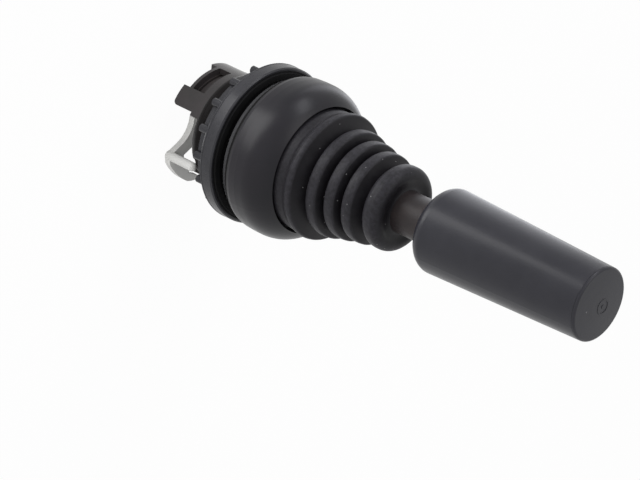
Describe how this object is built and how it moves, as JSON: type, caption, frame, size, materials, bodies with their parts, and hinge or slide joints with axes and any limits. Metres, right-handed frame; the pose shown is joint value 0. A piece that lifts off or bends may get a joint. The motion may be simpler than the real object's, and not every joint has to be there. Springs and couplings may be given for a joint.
{
  "type": "industrial joystick head",
  "caption": "Two-position joystick head for a round panel hole, with a tapered handle, ribbed rubber boot, domed bezel, lock nut and a white switch rocker.",
  "frame": {"origin": "on the barrel's axis, in the plane of the panel's front face, where the gasket seats", "axes": "+Z out of the panel along the upright lever, +X along one arm of the rocker, +Y along both cross pins"},
  "size_m": [0.0304, 0.0304, 0.0942],
  "materials": {
    "barrel_plastic": "fine-textured glass-filled nylon, dark brownish grey",
    "seal_rubber": "black nitrile rubber",
    "bezel_plastic": "satin black moulded plastic",
    "boot_rubber": "matte black EPDM rubber, slightly dusty",
    "zinc_steel": "zinc-plated steel",
    "carrier_plastic": "unpainted acetal",
    "bright_steel": "ground steel",
    "sleeve_plastic": "black moulded plastic",
    "spring_steel": "drawn spring wire",
    "nylon": "natural nylon",
    "neck_plastic": "brownish black moulded plastic",
    "brass": "turned brass",
    "handle_plastic": "charcoal moulded plastic with a satin sheen",
    "white_plastic": "off-white acetal",
    "nut_plastic": "charcoal glass-filled nylon"
  },
  "bodies": {
    "housing": {"barrel": "barrel_plastic", "panel_gasket": "seal_rubber", "bezel": "bezel_plastic", "boot": "boot_rubber", "gate_plate": "zinc_steel", "pivot_carrier": "carrier_plastic", "carrier_screws": "zinc_steel", "pivot_pin": "bright_steel", "shim_washers": "bright_steel", "inner_sleeve": "sleeve_plastic", "rocker_pin": "bright_steel", "centring_spring": "spring_steel"},
    "lever": {"lever_shaft": "bright_steel", "foot_ball": "nylon", "spring_collar": "zinc_steel", "collar_clip": "spring_steel", "neck_sleeve": "neck_plastic", "grip_insert": "brass", "grip": "handle_plastic", "grip_washer": "zinc_steel", "grip_screw": "zinc_steel", "grip_cap": "handle_plastic"},
    "rocker": {"rocker": "white_plastic", "rocker_bush": "brass"},
    "clamp": {"clamp_ring": "nut_plastic", "clamp_seal": "seal_rubber"},
    "nut": {"lock_nut": "nut_plastic"}
  },
  "joints": [
    {"name": "lever_tilt", "type": "hinge", "parent": "housing", "child": "lever", "pos_m": [0, 0, 0.0042], "axis": [0, 1, 0], "range_deg": [-15, 15], "stiffness_Nm_per_rad": 0.45, "deforming": ["boot", "centring_spring"]},
    {"name": "rocker_swing", "type": "hinge", "parent": "housing", "child": "rocker", "pos_m": [0, 0, -0.0115], "axis": [0, 1, 0], "range_deg": [-4, 4]},
    {"name": "clamp_travel", "type": "slide", "parent": "housing", "child": "clamp", "axis": [0, 0, -1], "range_m": [-0.0005, 0.00166]},
    {"name": "nut_turn", "type": "hinge", "parent": "clamp", "child": "nut", "pos_m": [0, 0, -0.005], "axis": [0, 0, -1], "range_deg": [-121, 400]}
  ],
  "couplings": [
    {"joint": "rocker_swing", "follows": "lever_tilt", "ratio": -0.26667},
    {"joint": "nut_turn", "follows": "clamp_travel", "rad_per_m": 4188.8}
  ]
}
